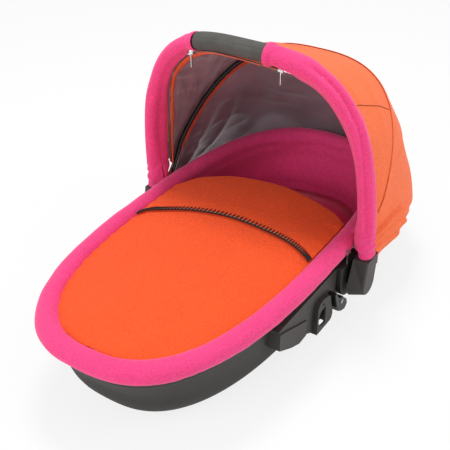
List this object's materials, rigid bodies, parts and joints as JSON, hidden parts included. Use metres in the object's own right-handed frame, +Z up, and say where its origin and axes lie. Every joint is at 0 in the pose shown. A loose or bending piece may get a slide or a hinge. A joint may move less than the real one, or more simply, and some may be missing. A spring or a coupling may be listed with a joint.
{
  "type": "carrycot",
  "caption": "Soft-lined carrycot: moulded tub, padded rim, apron with wind flap, folding zipped canopy, swinging carry handle and side adapter brackets.",
  "frame": {"origin": "middle of the tub's flat underside, on the surface it stands on", "axes": "+Y towards the head end, +Z up, +X the right side seen from the foot end"},
  "size_m": [0.4616, 0.8185, 0.4721],
  "materials": {
    "pink_felt": "felted, matte",
    "orange_felt": "felted, matte",
    "canopy_cloth": "plain weave",
    "mattress_cloth": "plain weave",
    "tab_webbing": "woven",
    "foam_grip": "matte foam",
    "shell_plastic": "fine texture",
    "fitting_plastic": "fine texture",
    "gloss_plastic": "polished",
    "tube_aluminium": "satin",
    "pin_steel": "satin",
    "zip_metal": "polished"
  },
  "bodies": {
    "tub": {"apron": "orange_felt", "apron_flap": "orange_felt", "canopy_rear": "canopy_cloth", "hub_left": "fitting_plastic", "hub_right": "fitting_plastic", "latch_pin_left": "pin_steel", "latch_pin_right": "pin_steel", "liner": "pink_felt", "mattress": "mattress_cloth", "pivot_pin_left": "pin_steel", "pivot_pin_right": "pin_steel", "rim_roll": "pink_felt", "rim_slider_left": "zip_metal", "rim_slider_right": "zip_metal", "side_bracket_left": "fitting_plastic", "side_bracket_right": "fitting_plastic", "tub_shell": "shell_plastic"},
    "handle": {"handle_tube": "tube_aluminium", "grip": "foam_grip", "sleeve_left": "pink_felt", "sleeve_right": "pink_felt", "boot_left": "fitting_plastic", "boot_right": "fitting_plastic", "zip_coil_left": "zip_metal", "zip_coil_right": "zip_metal", "zip_slider_left": "zip_metal", "zip_slider_right": "zip_metal"},
    "bow": {"canopy_bow": "gloss_plastic", "bow_eye_left": "gloss_plastic", "bow_eye_right": "gloss_plastic", "canopy_front": "canopy_cloth", "hem_tab_left": "tab_webbing", "hem_tab_right": "tab_webbing"},
    "latch_left": {"latch_left": "gloss_plastic"},
    "latch_right": {"latch_right": "gloss_plastic"},
    "zip_pull_left": {"zip_pull_left": "zip_metal"},
    "zip_pull_right": {"zip_pull_right": "zip_metal"},
    "rim_pull_left": {"rim_pull_left": "zip_metal"},
    "rim_pull_right": {"rim_pull_right": "zip_metal"}
  },
  "joints": [
    {"name": "handle_swing", "type": "hinge", "parent": "tub", "child": "handle", "pos_m": [0, 0.068, 0.082], "axis": [-1, 0, 0], "range_deg": [0, 60], "deforming": ["canopy_rear"]},
    {"name": "bow_swing", "type": "hinge", "parent": "handle", "child": "bow", "pos_m": [0, 0.068, 0.082], "axis": [-1, 0, 0], "range_deg": [-18, 0], "deforming": ["canopy_front"]},
    {"name": "latch_press_right", "type": "hinge", "parent": "tub", "child": "latch_right", "pos_m": [0.1927, 0.028, 0.058], "axis": [-1, 0, 0], "range_deg": [0, 14], "stiffness_Nm_per_rad": 0.12, "springref_deg": -20.05},
    {"name": "latch_press_left", "type": "hinge", "parent": "tub", "child": "latch_left", "pos_m": [-0.1927, 0.028, 0.058], "axis": [-1, 0, 0], "range_deg": [0, 14], "stiffness_Nm_per_rad": 0.12, "springref_deg": -20.05},
    {"name": "zip_pull_left_swing", "type": "hinge", "parent": "handle", "child": "zip_pull_left", "pos_m": [-0.114, 0.05568, 0.41558], "axis": [1, 0, 0], "range_deg": [-25, 25]},
    {"name": "zip_pull_right_swing", "type": "hinge", "parent": "handle", "child": "zip_pull_right", "pos_m": [0.055, 0.05505, 0.42393], "axis": [1, 0, 0], "range_deg": [-25, 25]},
    {"name": "rim_pull_left_swing", "type": "hinge", "parent": "tub", "child": "rim_pull_left", "pos_m": [-0.1963, 0.046, 0.1411], "axis": [1, 0, 0], "range_deg": [-25, 25]},
    {"name": "rim_pull_right_swing", "type": "hinge", "parent": "tub", "child": "rim_pull_right", "pos_m": [0.1963, 0.046, 0.1411], "axis": [1, 0, 0], "range_deg": [-25, 25]}
  ],
  "couplings": [
    {"joint": "bow_swing", "follows": "handle_swing", "ratio": -0.3}
  ]
}
